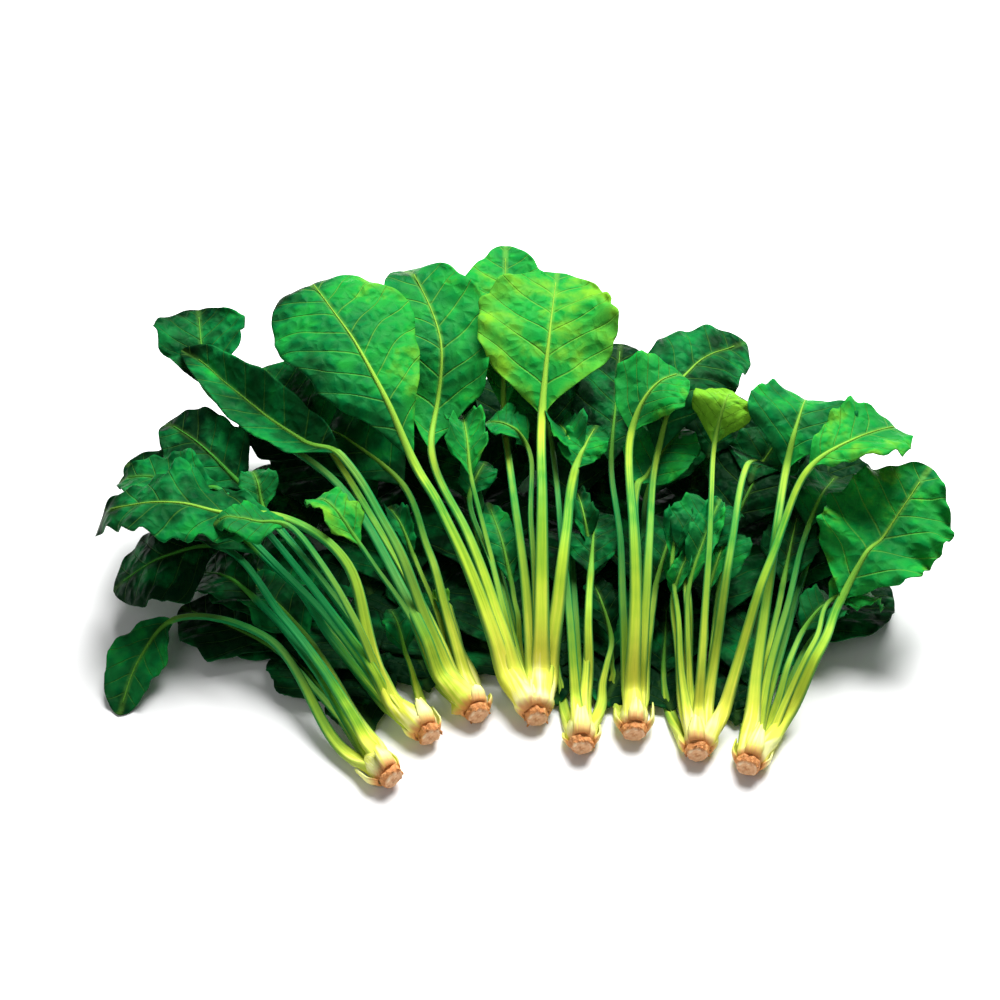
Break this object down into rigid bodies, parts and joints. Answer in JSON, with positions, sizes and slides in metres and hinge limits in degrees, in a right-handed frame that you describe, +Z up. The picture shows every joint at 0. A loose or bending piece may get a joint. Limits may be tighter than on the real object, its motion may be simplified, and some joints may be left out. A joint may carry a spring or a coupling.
{
  "type": "spinach bunch",
  "caption": "Bunch of whole fresh spinach plants lying flat, with ovate crinkled leaves fanned out from pale crowns and trimmed pinkish root ends.",
  "frame": {"origin": "on the surface that the bunch lies on, below the middle of its bounding box", "axes": "+Z up from that surface, +Y from the trimmed roots towards the leaf tips, +X to the right when looking along +Y, across the fan"},
  "size_m": [0.4152, 0.2912, 0.1018],
  "materials": {
    "leaf": "satin",
    "root": "matte"
  },
  "bodies": {
    "root": {"plant_1": "leaf", "plant_2": "leaf", "plant_3": "leaf", "plant_4": "leaf", "plant_5": "leaf", "plant_6": "leaf", "plant_7": "leaf", "plant_8": "leaf", "root_1": "root", "root_2": "root", "root_3": "root", "root_4": "root", "root_5": "root", "root_6": "root", "root_7": "root", "root_8": "root"}
  },
  "joints": []
}
